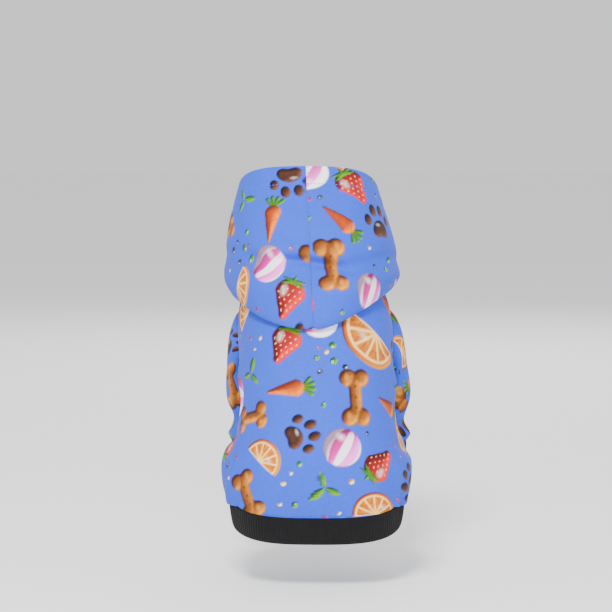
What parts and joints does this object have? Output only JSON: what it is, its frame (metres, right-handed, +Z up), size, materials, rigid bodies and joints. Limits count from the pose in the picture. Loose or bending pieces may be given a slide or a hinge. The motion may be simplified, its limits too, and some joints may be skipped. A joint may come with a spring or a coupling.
{
  "type": "dog hoodie",
  "caption": "Blue fleece dog hoodie in its worn shape, hollow inside, with its hood lying down on the back, short sleeves and a ribbed waistband.",
  "frame": {"origin": "middle of the neck seam, where the garment sits on the neck that wears it", "axes": "+Z up along the worn garment's height, +Y the way the wearer faces, +X to the wearer's right"},
  "size_m": [0.2252, 0.2686, 0.4338],
  "materials": {
    "fleece": "brushed fleece, periwinkle blue, with an all-over print",
    "rib": "black rib knit"
  },
  "bodies": {
    "root": {"back_panel": "fleece", "belly_panel": "fleece", "sleeve_left": "fleece", "sleeve_right": "fleece", "hood_left": "fleece", "hood_right": "fleece", "cuff_left": "rib", "cuff_right": "rib", "waistband": "rib"}
  },
  "joints": []
}
